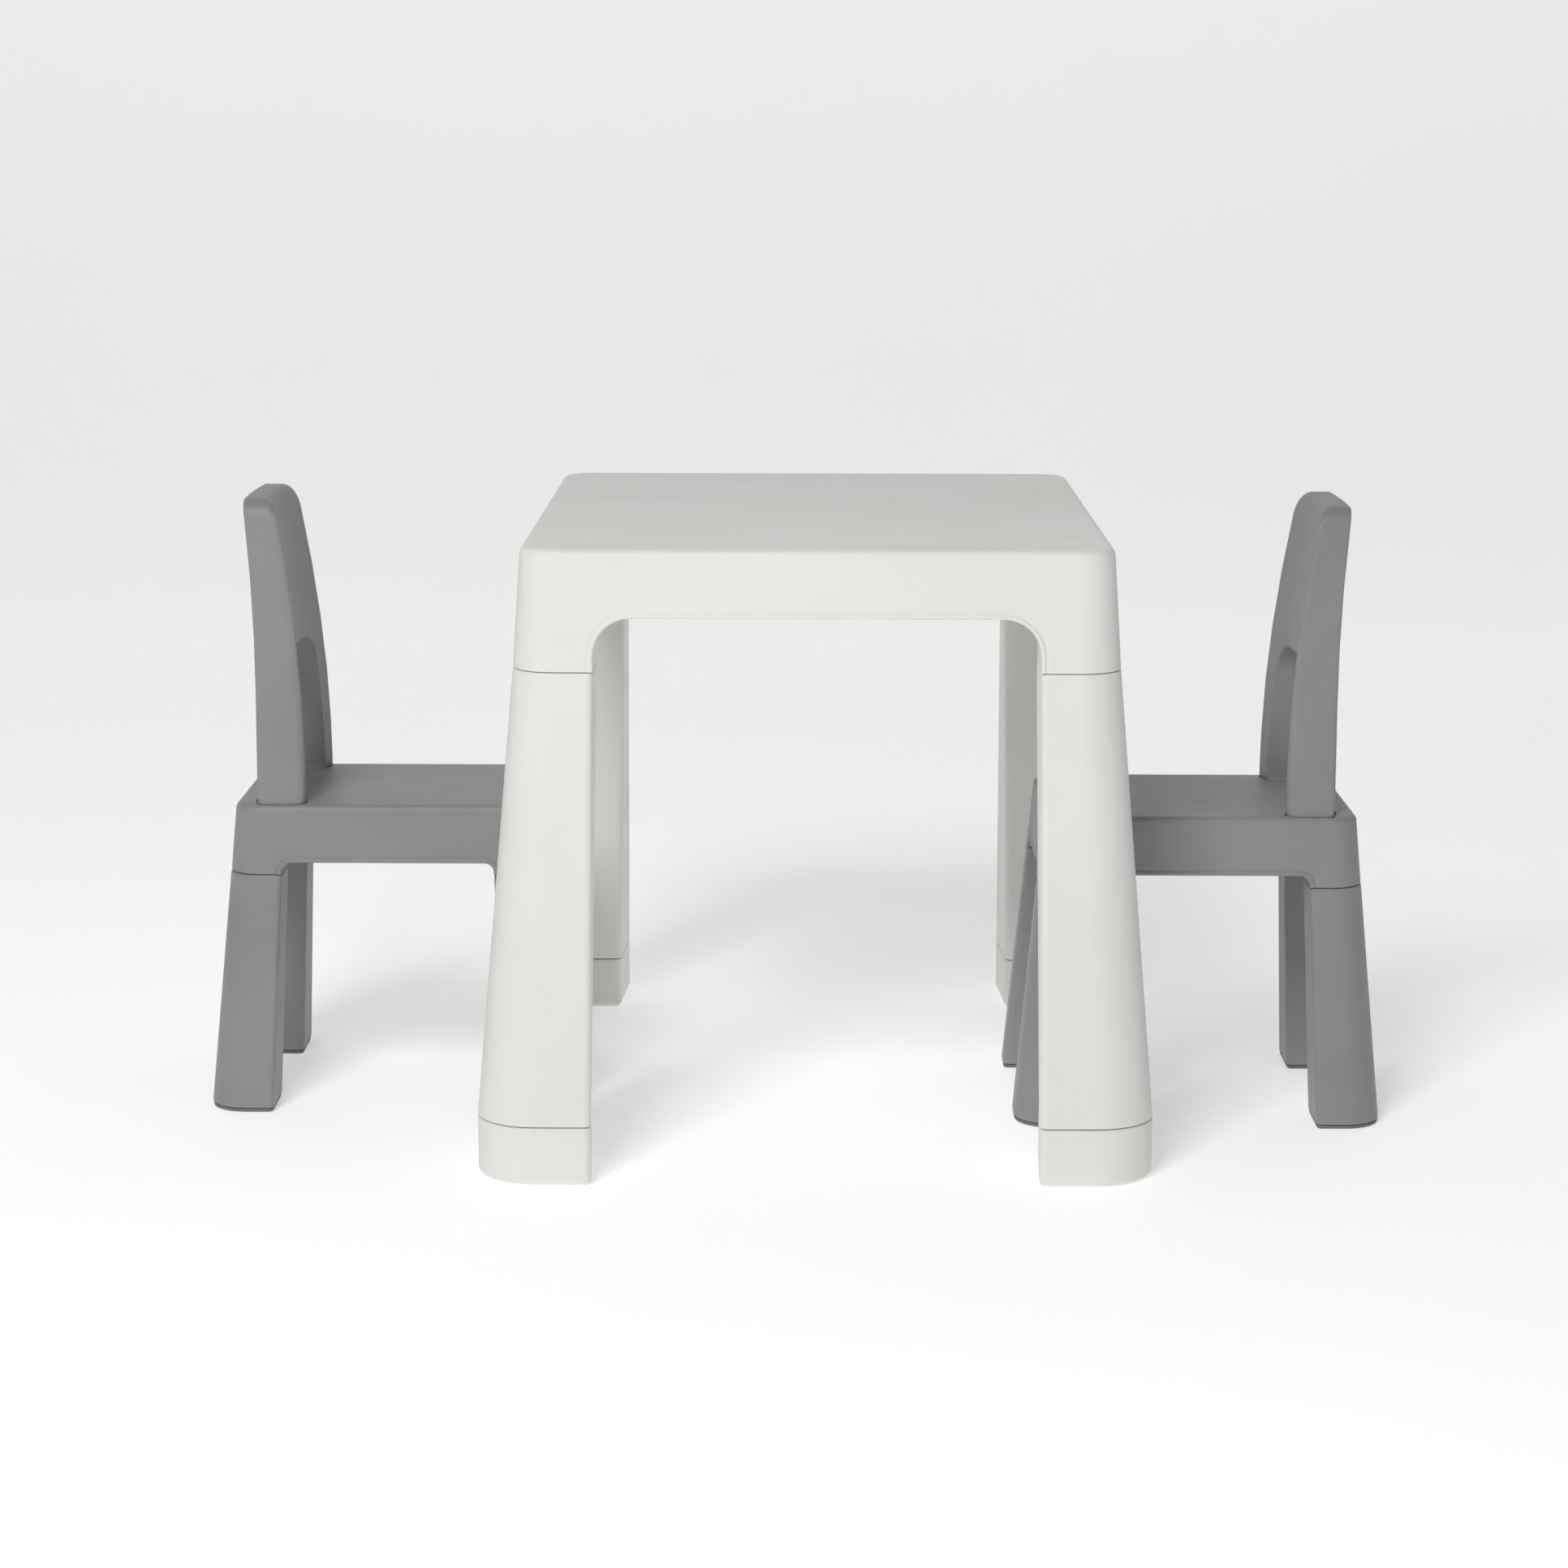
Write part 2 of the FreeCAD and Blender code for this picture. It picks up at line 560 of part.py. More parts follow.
def lean_radius(lean, bend):
    """Radius of the arc that leans back by 'lean' between the bend and the top."""
    rise = size("back_height") - size(bend)
    return (rise * rise + size(lean) ** 2) / (2 * size(lean))


def lean_x(face, lean, bend, height):
    """Where a leaning face is at a height, from the chair's middle."""
    rise = max(height - size(bend), 0)
    radius = lean_radius(lean, bend)
    return size(face) - (radius - (radius * radius - rise * rise) ** 0.5)


def backrest(side, x, y, turn):
    """Arched back, hollowed across its front, on two posts that plug into the seat."""
    body = new_body(f"{side}_chair_backrest", x, y, turn)
    base = size("seat_height") - size("rebate_depth")
    top = size("back_height")
    outline = new_sketch(body, "SideOutline", "XZ_Plane")
    add_back_profile(outline, base, top)
    extrude(body, "Slab", outline, "back_width_low", both_ways=True)

    hollow = new_sketch(body, "HollowOutline", offset="seat_height - rebate_depth - 1")
    add_hollow(hollow)
    spine = new_sketch(body, "HollowSpine", "XZ_Plane")
    add_front_line(spine, base - 1, top + 1)
    sweep = body.newObject("PartDesign::SubtractivePipe", "FrontHollow")
    sweep.Profile = hollow
    sweep.Spine = spine
    doc.recompute()

    low, high = "( back_width_low / 2 )", "( back_width_top / 2 )"
    far, floor_line, above = "( back_width_low )", "( seat_height - 20 )", "( back_height + 20 )"
    sides = new_sketch(body, "FrontOutline", "YZ_Plane")
    add_outline(sides, [(f"-{far}", floor_line, "0"), (far, floor_line, "0"),
                        (far, above, "0"), (f"-{far}", above, "0")])
    base_line = "( seat_height - 10 )"
    add_outline(sides, [(f"-{low}", base_line, "0"), (low, base_line, "0"),
                        (high, "back_height", "back_top_corner"),
                        (f"-{high}", "back_height", "back_top_corner")])
    extrude(body, "Sides", sides, cut=True, both_ways=True)

    low, high = "( arch_width_low / 2 )", "( arch_width_top / 2 )"
    hand_hole = [(f"-{low}", base_line, "0"), (low, base_line, "0"),
                 (high, "arch_height", "arch_corner"), (f"-{high}", "arch_height", "arch_corner")]
    extrude(body, "HandHole", outline_sketch(body, "HandHoleOutline", hand_hole, "YZ_Plane"),
            cut=True, both_ways=True)

    tongues = outlines_sketch(body, "TongueOutline", tongue_corners("0"),
                              "seat_height - rebate_depth - tongue_depth")
    extrude(body, "Tongues", tongues, "tongue_depth + 3")
    return body


def bound(sketch, constraint, expression):
    """Add a size constraint and tie it to the sheet."""
    place = sketch.addConstraint(constraint)
    sketch.setExpression(f"Constraints[{place}]", with_sheet(expression))


def hold_point(sketch, geometry, end, x, y):
    """Hold one end of a line or arc at x, y, both expressions."""
    place_x, place_y = (float(sketch.evalExpression(with_sheet(item))) for item in (x, y))
    bound(sketch, Sketcher.Constraint("DistanceX", -1, 1, geometry, end, place_x), x)
    bound(sketch, Sketcher.Constraint("DistanceY", -1, 1, geometry, end, place_y), y)


def join(sketch, first, first_end, second, second_end):
    sketch.addConstraint(Sketcher.Constraint("Coincident", first, first_end, second, second_end))


def lean_arc(sketch, face, lean, bend, height):
    """Arc of a leaning face, upright at its bend. Its end 1 is the upper one."""
    rise = height - size(bend)
    upper = Vector(lean_x(face, lean, bend, height), height, 0)
    middle_rise = rise / 2
    middle = Vector(lean_x(face, lean, bend, size(bend) + middle_rise), size(bend) + middle_rise, 0)
    return sketch.addGeometry(Part.Arc(upper, middle, Vector(size(face), size(bend), 0)))


def add_back_profile(sketch, base, top):
    """Side view: upright at the seat, both faces leaning back on long arcs."""
    front = size("back_front")
    rear = size("back_rear")
    corners = {
        "rear_low": Vector(rear, base, 0), "front_low": Vector(front, base, 0),
        "front_bend": Vector(front, size("back_front_bend"), 0),
        "rear_bend": Vector(rear, size("back_rear_bend"), 0),
        "front_top": Vector(lean_x("back_front", "back_front_lean", "back_front_bend", top), top, 0),
        "rear_top": Vector(lean_x("back_rear", "back_rear_lean", "back_rear_bend", top), top, 0),
    }
    bottom = sketch.addGeometry(Part.LineSegment(corners["rear_low"], corners["front_low"]))
    front_line = sketch.addGeometry(Part.LineSegment(corners["front_low"], corners["front_bend"]))
    front_arc = lean_arc(sketch, "back_front", "back_front_lean", "back_front_bend", top)
    crown = sketch.addGeometry(Part.LineSegment(corners["front_top"], corners["rear_top"]))
    rear_arc = lean_arc(sketch, "back_rear", "back_rear_lean", "back_rear_bend", top)
    rear_line = sketch.addGeometry(Part.LineSegment(corners["rear_bend"], corners["rear_low"]))
    chain = [bottom, front_line, front_arc, crown, rear_arc, rear_line]
    for first, second in zip(chain, chain[1:] + chain[:1]):
        ends = [(e1, e2) for e1 in (1, 2) for e2 in (1, 2)
                if sketch.getPoint(first, e1).distanceToPoint(sketch.getPoint(second, e2)) < 1e-4]
        join(sketch, first, ends[0][0], second, ends[0][1])
    base_level = "seat_height - rebate_depth"
    hold_point(sketch, bottom, 1, "back_rear", base_level)
    hold_point(sketch, bottom, 2, "back_front", base_level)
    hold_point(sketch, front_line, 2, "back_front", "back_front_bend")
    hold_point(sketch, rear_line, 1, "back_rear", "back_rear_bend")
    hold_point(sketch, crown, 1, "back_front - back_front_lean", "back_height")
    hold_point(sketch, crown, 2, "back_rear - back_rear_lean", "back_height")
    for arc, lean, bend in ((front_arc, "back_front_lean", "back_front_bend"),
                            (rear_arc, "back_rear_lean", "back_rear_bend")):
        rise = f"( back_height - {bend} )"
        bound(sketch, Sketcher.Constraint("Radius", arc, sketch.Geometry[arc].Radius),
              f"( {rise} ^ 2 + {lean} ^ 2 ) / ( 2 * {lean} )")


def add_front_line(sketch, base, top):
    """Line and arc of the front face, the path that the front hollow follows."""
    front = size("back_front")
    bend = Vector(front, size("back_front_bend"), 0)
    line = sketch.addGeometry(Part.LineSegment(Vector(front, base, 0), bend))
    arc = lean_arc(sketch, "back_front", "back_front_lean", "back_front_bend", top)
    lower_end = 1 if sketch.getPoint(arc, 1).y < sketch.getPoint(arc, 2).y else 2
    hold_point(sketch, line, 1, "back_front", "seat_height - rebate_depth - 1")
    hold_point(sketch, line, 2, "back_front", "back_front_bend")
    sketch.addConstraint(Sketcher.Constraint("Tangent", line, 2, arc, lower_end))
    rise = "( back_height - back_front_bend )"
    bound(sketch, Sketcher.Constraint("Radius", arc, sketch.Geometry[arc].Radius),
          f"( {rise} ^ 2 + back_front_lean ^ 2 ) / ( 2 * back_front_lean )")
    upper = sketch.getPoint(arc, 3 - lower_end)
    bound(sketch, Sketcher.Constraint("DistanceY", -1, 1, arc, 3 - lower_end, upper.y), "back_height + 1")


def add_hollow(sketch):
    """Plan of the front hollow: a shallow arc closed by a chord in front of the face."""
    half = size("back_width_low") / 2
    front, depth = size("back_front"), size("back_hollow")
    chord_x = front + 4
    left, right = Vector(front, -half, 0), Vector(front, half, 0)
    arc = sketch.addGeometry(Part.Arc(left, Vector(front - depth, 0, 0), right))
    upper = sketch.addGeometry(Part.LineSegment(right, Vector(chord_x, half, 0)))
    chord = sketch.addGeometry(Part.LineSegment(Vector(chord_x, half, 0), Vector(chord_x, -half, 0)))
    lower = sketch.addGeometry(Part.LineSegment(Vector(chord_x, -half, 0), left))
    chain = [arc, upper, chord, lower]
    for first, second in zip(chain, chain[1:] + chain[:1]):
        ends = [(e1, e2) for e1 in (1, 2) for e2 in (1, 2)
                if sketch.getPoint(first, e1).distanceToPoint(sketch.getPoint(second, e2)) < 1e-4]
        join(sketch, first, ends[0][0], second, ends[0][1])
    hold_point(sketch, upper, 1, "back_front", "back_width_low / 2")
    hold_point(sketch, upper, 2, "back_front + 4", "back_width_low / 2")
    hold_point(sketch, lower, 1, "back_front + 4", "-back_width_low / 2")
    hold_point(sketch, lower, 2, "back_front", "-back_width_low / 2")
    bound(sketch, Sketcher.Constraint("Radius", arc, sketch.Geometry[arc].Radius),
          "( ( back_width_low / 2 ) ^ 2 + back_hollow ^ 2 ) / ( 2 * back_hollow )")


# ---------------------------------------------------------------- assemble

parts = [table_top()]
for corner, sign_x, sign_y, turn in CORNERS:
    parts.append(table_leg(corner, sign_x, sign_y, turn))
    parts.append(table_foot(corner, sign_x, sign_y, turn))

# the right chair is the left one turned half round
CHAIRS = [("left", "left_chair_x", "left_chair_y", 0), ("right", "right_chair_x", "right_chair_y", 180)]
for side, x, y, chair_turn in CHAIRS:
    parts.append(seat(side, x, y, chair_turn))
    parts.append(backrest(side, x, y, chair_turn))
    for corner, sign_x, sign_y, turn in CORNERS:
        place_x = f"{x} + {sign_x}( seat_length / 2 + seat_flare )"
        place_y = f"{y} + {sign_y}( seat_width / 2 + seat_flare )"
        parts.append(chair_leg(side, corner, turn, place_x, place_y))
        parts.append(chair_pad(side, corner, turn, place_x, place_y))

doc.recompute()

# ---------------------------------------------------------------- check and write

for item in doc.Objects:
    if "Invalid" in item.State or "Error" in item.State:
        raise RuntimeError(f"{item.Label} failed: {item.State}")
for part in parts:
    if part.Shape.isNull() or not part.Shape.isValid():
        raise RuntimeError(f"{part.Label} has no valid shape")
    if len(part.Shape.Solids) != 1:
        raise RuntimeError(f"{part.Label} has {len(part.Shape.Solids)} solids")

os.makedirs("parts", exist_ok=True)
whole = FreeCAD.BoundBox()
for part in parts:
    part.Shape.exportStep(f"parts/{part.Label}.step")
    whole.add(part.Shape.BoundBox)
    print(f"{part.Label}: {part.Shape.Volume / 1000:.1f} cm3")
for axis in "XYZ":
    print(f"{axis}: {getattr(whole, axis + 'Min'):.2f} to {getattr(whole, axis + 'Max'):.2f}")
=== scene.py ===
"""Looks of the kids table and chairs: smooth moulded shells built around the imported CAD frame."""

import math

import bmesh
import bpy
import numpy as np
from mathutils import Matrix


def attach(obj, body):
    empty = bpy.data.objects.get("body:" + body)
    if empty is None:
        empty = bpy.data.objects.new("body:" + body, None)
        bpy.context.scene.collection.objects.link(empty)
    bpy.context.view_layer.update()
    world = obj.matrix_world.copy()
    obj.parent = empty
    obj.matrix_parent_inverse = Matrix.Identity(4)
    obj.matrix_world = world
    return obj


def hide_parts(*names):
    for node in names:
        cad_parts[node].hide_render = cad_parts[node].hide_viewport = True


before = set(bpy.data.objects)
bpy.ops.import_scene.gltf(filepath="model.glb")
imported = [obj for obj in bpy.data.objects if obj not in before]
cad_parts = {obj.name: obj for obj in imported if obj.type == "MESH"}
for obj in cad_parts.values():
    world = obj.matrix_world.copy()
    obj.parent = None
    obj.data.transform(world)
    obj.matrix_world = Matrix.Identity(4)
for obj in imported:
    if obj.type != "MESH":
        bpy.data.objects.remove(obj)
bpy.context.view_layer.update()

MM = 0.001
# places in millimetres from the middle of the set: the table along X, each chair as x, y and turn
TABLE_X = 19.15
CHAIRS = {"left": (-339.45, 1.5, 0), "right": (339.45, -38.0, 180)}
# name, side along X, side along Y, turn of a leg drawn for the corner at +X +Y
CORNERS = [("rear_right", 1, 1, 0), ("rear_left", -1, 1, 90),
           ("front_left", -1, -1, 180), ("front_right", 1, -1, 270)]


# ---------------------------------------------------------------- materials

def plastic(name, low, high, roughness, grain):
    """Moulded plastic: two close colours in soft clouds, a fine grain and uneven gloss."""
    material = bpy.data.materials.new(name)
    material.use_nodes = True
    nodes, links = material.node_tree.nodes, material.node_tree.links
    nodes.clear()
    out = nodes.new("ShaderNodeOutputMaterial")
    shader = nodes.new("ShaderNodeBsdfPrincipled")
    place = nodes.new("ShaderNodeTexCoord")
    links.new(shader.outputs["BSDF"], out.inputs["Surface"])

    def noise(scale, detail):
        texture = nodes.new("ShaderNodeTexNoise")
        texture.inputs["Scale"].default_value = scale
        texture.inputs["Detail"].default_value = detail
        links.new(place.outputs["Object"], texture.inputs["Vector"])
        return texture

    clouds = noise(9.0, 3.0)
    ramp = nodes.new("ShaderNodeValToRGB")
    ramp.color_ramp.elements[0].position = 0.35
    ramp.color_ramp.elements[1].position = 0.65
    ramp.color_ramp.elements[0].color = (*low, 1)
    ramp.color_ramp.elements[1].color = (*high, 1)
    links.new(clouds.outputs["Fac"], ramp.inputs["Fac"])
    links.new(ramp.outputs["Color"], shader.inputs["Base Color"])

    gloss = nodes.new("ShaderNodeMapRange")
    gloss.inputs["To Min"].default_value = roughness - 0.05
    gloss.inputs["To Max"].default_value = roughness + 0.05
    links.new(noise(60.0, 4.0).outputs["Fac"], gloss.inputs["Value"])
    links.new(gloss.outputs["Result"], shader.inputs["Roughness"])

    bump = nodes.new("ShaderNodeBump")
    bump.inputs["Strength"].default_value = grain
    bump.inputs["Distance"].default_value = 0.0004
    links.new(noise(800.0, 2.0).outputs["Fac"], bump.inputs["Height"])
    links.new(bump.outputs["Normal"], shader.inputs["Normal"])
    shader.inputs["IOR"].default_value = 1.46
    return material


WHITE = plastic("table_plastic", (0.795, 0.795, 0.775), (0.825, 0.825, 0.81), 0.50, 0.16)
GREY = plastic("chair_plastic", (0.252, 0.254, 0.256), (0.276, 0.278, 0.280), 0.50, 0.45)
RUBBER = plastic("pad_rubber", (0.165, 0.165, 0.170), (0.195, 0.195, 0.200), 0.8, 0.3)


# ---------------------------------------------------------------- mesh building

class Shell:
    """Points in millimetres and faces between them, turned into one smooth mesh object."""

    def __init__(self):
        self.points = []
        self.faces = []

    def row(self, points):
        start = len(self.points)
        self.points.extend(tuple(float(value) for value in point) for point in points)
        return list(range(start, len(self.points)))

    def strip(self, first, second, closed=True):
        count = len(first)
        for index in range(count if closed else count - 1):
            after = (index + 1) % count
            self.faces.append((first[index], first[after], second[after], second[index]))

    def rows(self, rings, closed=True):
        made = [self.row(ring) for ring in rings]
        for first, second in zip(made, made[1:]):
            self.strip(first, second, closed)
        return made

    def cap(self, ring):
        self.faces.append(tuple(ring))

    def finish(self, name, material, slot, node, body, place=(0, 0, 0), sharp=40):
        x, y, turn = place
        cos, sin = math.cos(math.radians(turn)), math.sin(math.radians(turn))
        points = [((x + px * cos - py * sin) * MM, (y + px * sin + py * cos) * MM, pz * MM)
                  for px, py, pz in self.points]
        mesh = bpy.data.meshes.new(name)
        mesh.from_pydata(points, [], self.faces)
        work = bmesh.new()
        work.from_mesh(mesh)
        bmesh.ops.remove_doubles(work, verts=work.verts, dist=0.00002)
        bmesh.ops.recalc_face_normals(work, faces=work.faces)
        work.to_mesh(mesh)
        work.free()
        mesh.polygons.foreach_set("use_smooth", [True] * len(mesh.polygons))
        mesh.set_sharp_from_angle(angle=math.radians(sharp))
        mesh.materials.append(material)
        piece = bpy.data.objects.new(name, mesh)
        bpy.context.scene.collection.objects.link(piece)
        if node is not None:
            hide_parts(node)
            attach(piece, body)
        return piece


def outline(corners, radii, steps=8, guard=1.2):
    """Convex outline with rounded corners, with a guard point on both sides of each arc."""
    points = []
    count = len(corners)
    for index, radius in enumerate(radii):
        here, before, after = (np.array(corners[number % count], float)
                               for number in (index, index - 1, index + 1))
        back = (before - here) / np.linalg.norm(before - here)
        ahead = (after - here) / np.linalg.norm(after - here)
        half = math.acos(float(np.clip(back @ ahead, -1, 1))) / 2
        run = radius / math.tan(half)
        middle = here + (back + ahead) / np.linalg.norm(back + ahead) * radius / math.sin(half)
        first, last = here + back * run - middle, here + ahead * run - middle
        start, end = math.atan2(first[1], first[0]), math.atan2(last[1], last[0])
        end += 2 * math.pi if end < start else 0
        points.append(here + back * (run + guard))
        for step in range(steps + 1):
            angle = start + (end - start) * step / steps
            points.append(middle + radius * np.array([math.cos(angle), math.sin(angle)]))
        points.append(here + ahead * (run + guard))
    return np.array(points)


def level(ring, height):
    return [(x, y, height) for x, y in ring]


# ---------------------------------------------------------------- legs, feet, pads

def leg_ring(shape, share, inset=0.0):
    """Plan of a leg at a share of the way down, drawn in by an inset."""
    reach, width, relief, outer, edge = (top + (low - top) * share for top, low in shape)
    face, inner, back = reach - inset, reach - width + inset, reach - width + relief + inset
    return outline([(face, face), (inner, face), (back, back), (face, inner)],
                   [outer - inset, max(edge - inset, 0.6), max(edge - inset, 0.6), max(edge - inset, 0.6)])


def tapered_leg(shape, top, bottom, wall, soft, plug, plug_height, open_end):
    """Hollow leg with softened ends and the plug that goes up into the piece above."""
    shell = Shell()

    def ring(height, inset):
        return level(leg_ring(shape, (top - height) / (top - bottom), inset), height)

    low, high = bottom + 0.4, top - 0.4
    path = [(low, wall), (low, 1.2), (low + 0.25, 0.5), (low + 0.9, 0.12), (low + soft, 0)]
    path += [(low + (high - low) * share, 0) for share in (0.03, 0.25, 0.5, 0.75, 0.97)]
    path += [(high - soft, 0), (high - 0.9, 0.12), (high - 0.25, 0.5), (high, 1.2), (high, 4.0)]
    made = shell.rows([ring(height, inset) for height, inset in path])
    shell.cap(made[-1])
    if open_end:
        inside = shell.rows([ring(height, wall) for height in (low + 1, bottom + 120)])
        shell.strip(made[0], inside[0])
        shell.cap(inside[-1])
    else:
        shell.cap(made[0])
    outside, inside, corner = plug
    box = [(-outside, -outside), (-inside, -outside), (-inside, -inside), (-outside, -inside)]

    def plug_ring(height, inset):
        drawn = [(x - inset if x == -outside else x + inset, y - inset if y == -outside else y + inset)
                 for x, y in box]
        return level(outline(drawn, [corner, 2, 2, 2], steps=5), height)

    peak = top + plug_height
    plug_path = [(high, 0), (peak - 1.5, 0), (peak - 0.4, 0.4), (peak, 1.5), (peak, 3.2), (peak - 20, 3.4)]
    made = shell.rows([plug_ring(height, inset) for height, inset in plug_path])
    shell.cap(made[0])
    shell.cap(made[-1])
    return shell


TABLE_LEG = [(0, 30.5), (64.5, 93), (0, 5), (33.4, 47), (5, 6)]
CHAIR_LEG = [(0, 18.5), (45.5, 55.5), (0, 0), (25.6, 31), (4, 5)]


def foot_extension():
    """Cup with a rounded bottom, and the tube that goes up into the leg."""
    shell = Shell()
    bottom = [(5 - 5 * math.sin(math.radians(angle)), 5 - 5 * math.cos(math.radians(angle)))
              for angle in range(0, 91, 15)]
    path = [(height, inset) for inset, height in bottom]
    path = [(0, 8.0), (0, 6.0)] + path
    path += [(7, 0), (26, 0), (44.5, 0), (45.8, 0.12), (46.4, 0.5), (46.6, 1.2)]
    path += [(46.6, 8), (79, 8), (80.4, 8.5), (81, 9.6), (81, 11.2), (20, 11.4)]
    made = shell.rows([level(leg_ring(TABLE_LEG, 1, inset), height) for height, inset in path])
    shell.cap(made[0])
    shell.cap(made[-1])
    return shell


def pad():
    shell = Shell()
    path = [(0, 6), (0, 2), (0.3, 1.1), (1, 0.75), (2.4, 0.7), (2.9, 1.1), (2.9, 6)]
    made = shell.rows([level(leg_ring(CHAIR_LEG, 1, inset), height) for height, inset in path])
    shell.cap(made[0])
    shell.cap(made[-1])
    return shell


# ---------------------------------------------------------------- moulded tops

LIP = [(5.4, 0.0), (4.8, 0.2), (4.3, 0.45), (3.8, 0.3), (3.3, -0.3), (2.6, -0.75), (1.6, -0.85), (0.8, -0.5),
       (0.25, 0.1), (0.0, 1.0), (0.0, 2.4)]


class MouldedTop:
    """Deck, leaning skirt, four leg stubs and arched openings; half sizes and heights in millimetres."""

    def __init__(self, half_x, half_y, height, joint, flare, corner, edge, skirt, arch, leg, wall, lip):
        self.half = (half_x, half_y)
        self.height, self.joint, self.flare, self.corner, self.edge = height, joint, flare, corner, edge
        self.skirt, self.arch, self.wall = skirt, arch, wall
        self.stub = (half_x + flare - leg, half_y + flare - leg)
        self.lip = [(away * lip, depth * lip) for away, depth in LIP] + [(0.0, wall)]
        self.shell = Shell()

    def side(self, number):
        """Along one side: its direction, normal, distance and the opening's half width."""
        angle = math.pi / 2 * number
        normal = np.array([round(math.cos(angle)), round(math.sin(angle))], float)
        along = np.array([-normal[1], normal[0]])
        across = number % 2
        return along, normal, self.half[across], self.half[1 - across], self.stub[1 - across]

    def at(self, base, normal, height, depth):
        lean = self.flare * (self.height - height) / (self.height - self.joint)
        x, y = base + normal * (lean - depth)
        return x, y, height

    def opening(self, number, away):
        """Points of one opening's boundary, drawn back from it: (base, normal, height)."""
        along, normal, distance, _, stub = self.side(number)
        arch, top = self.arch, self.skirt
        reach = arch + away
        curve = [(-(stub - arch + reach * math.cos(angle)), top - arch + reach * math.sin(angle))
                 for angle in np.linspace(0, math.pi / 2, 9)]
        run = stub - arch
        curve += [(shift, top + away) for shift in np.linspace(-run, run, 14)[1:-1]]
        curve += [(-shift, height) for shift, height in curve[8::-1]]
        return [(normal * distance + along * shift, normal, height) for shift, height in curve]

    def uprights(self, number, sign, away):
        """The straight upright part of an opening's boundary at one end."""
        along, normal, distance, _, stub = self.side(number)
        return normal * distance + along * sign * (stub + away), normal

    def corner_columns(self, number, away):
        """From the end of one side round the corner to the start of the next: (base, normal)."""
        along, normal, distance, length, _ = self.side(number)
        columns = [self.uprights(number, 1, away)]
        if away > 0:
            columns.append(self.uprights(number, 1, away + 6))
        middle = normal * (distance - self.corner) + along * (length - self.corner)
        columns.append((normal * distance + along * (length - self.corner - 1.5), normal))
        for step in range(11):
            angle = math.pi / 2 * step / 10
            outward = normal * math.cos(angle) + along * math.sin(angle)
            columns.append((middle + outward * self.corner, outward))
        columns.append((along * length + normal * (distance - self.corner - 1.5), along))
        if away > 0:
            columns.append(self.uprights((number + 1) % 4, -1, away + 6))
        columns.append(self.uprights((number + 1) % 4, -1, away))
        return columns

    def stub_levels(self):
        """Heights of the stub's rows with the extra depth that softens their lower edge."""
        low, high = self.joint + 0.3, self.skirt - self.arch
        step = min(1.0, (high - low) / 2.5)
        return [(low, 0.8 * step), (low + 0.4 * step, 0.3 * step), (low + 1.1 * step, 0.05 * step),
                (low + 2.0 * step, 0.0), ((low + 2 * step + high) / 2, 0), (high, 0)]

    def faces(self, inner):
        """The outer or the inner skin, from the stubs' lower edge to the deck."""
        depth = self.wall if inner else 0.0
        away = 0.0 if inner else self.lip[0][0]
        top = self.height - (self.wall + 2.5 if inner else self.edge)
        ring = []
        for number in range(4):
            ring += [(base, normal, low) for base, normal, low in self.opening(number, away)]
            columns = self.corner_columns(number, away)
            ring += [(base, normal, self.skirt - self.arch) for base, normal in columns[1:-1]]
            grid = [[self.at(base, normal, height, min(depth + extra, self.wall))
                     for base, normal in columns]
                    for height, extra in self.stub_levels()]
            self.shell.rows(grid, closed=False)
        rings = []
        for share in (0, 0.06, 0.3, 0.65, 0.95, 1):
            rings.append([self.at(base, normal, low + (top - low) * share, depth)
                          for base, normal, low in ring])
        if inner:
            under = self.height - self.wall
            steps = [(under - 0.7, self.wall + 0.7), (under, self.wall + 2.5), (under, self.wall + 4)]
        else:
            steps = [(self.height - self.edge * (1 - math.sin(math.radians(angle))),
                      self.edge * (1 - math.cos(math.radians(angle)))) for angle in range(15, 91, 15)]
            steps.append((self.height, self.edge + 1.5))
        for height, inward in steps:
            rings.append([self.at(base, normal, height, inward) for base, normal, low in ring])
        made = self.shell.rows(rings)
        self.shell.cap(made[-1])

    def lips(self):
        """The rolled edge along each opening and the closing of the stubs' lower edge."""
        for number in range(4):
            bands = []
            for away, depth in self.lip:
                band = []
                for sign, levels in ((-1, self.stub_levels()[:-1]), (1, self.stub_levels()[-2::-1])):
                    base, normal = self.uprights(number, sign, away)
                    part = [self.at(base, normal, height, min(depth + extra, self.wall))
                            for height, extra in levels]
                    if sign == -1:
                        band += part
                        band += [self.at(base, normal, height, depth)
                                 for base, normal, height in self.opening(number, away)]
                    else:
                        band += part
                bands.append(band)
            made = self.shell.rows(bands, closed=False)
            for end in (0, -1):
                self.shell.cap([row[end] for row in made])
            low, extra = self.stub_levels()[0]
            outer_columns = self.corner_columns(number, self.lip[0][0])
            outer = [self.at(base, normal, low, extra) for base, normal in outer_columns]
            inner_columns = self.corner_columns(number, 0.0)
            inner = [self.at(base, normal, low, self.wall) for base, normal in inner_columns]
            inner = [inner[0], inner[0], *inner[1:-1], inner[-1], inner[-1]]
            first, second = self.shell.row(outer), self.shell.row(inner)
            self.shell.strip(first, second, closed=False)

    def stubs(self):
        """Inner walls of the four leg sockets."""
        for sign_x in (1, -1):
            for sign_y in (1, -1):
                near_x, near_y = self.stub[0] + 0.25, self.stub[1] + 0.25
                radius, wall = 4.0, self.wall
                bend = [(near_x + radius * (1 - math.sin(angle)), near_y + radius * (1 - math.cos(angle)))
                        for angle in np.linspace(0, math.pi / 2, 7)]
                rings = []
                for height, short in ((self.joint + 0.4, 0.0), (self.height - self.edge - 1, 0.0),
                                      (self.height - 0.6 * wall, 2.0)):
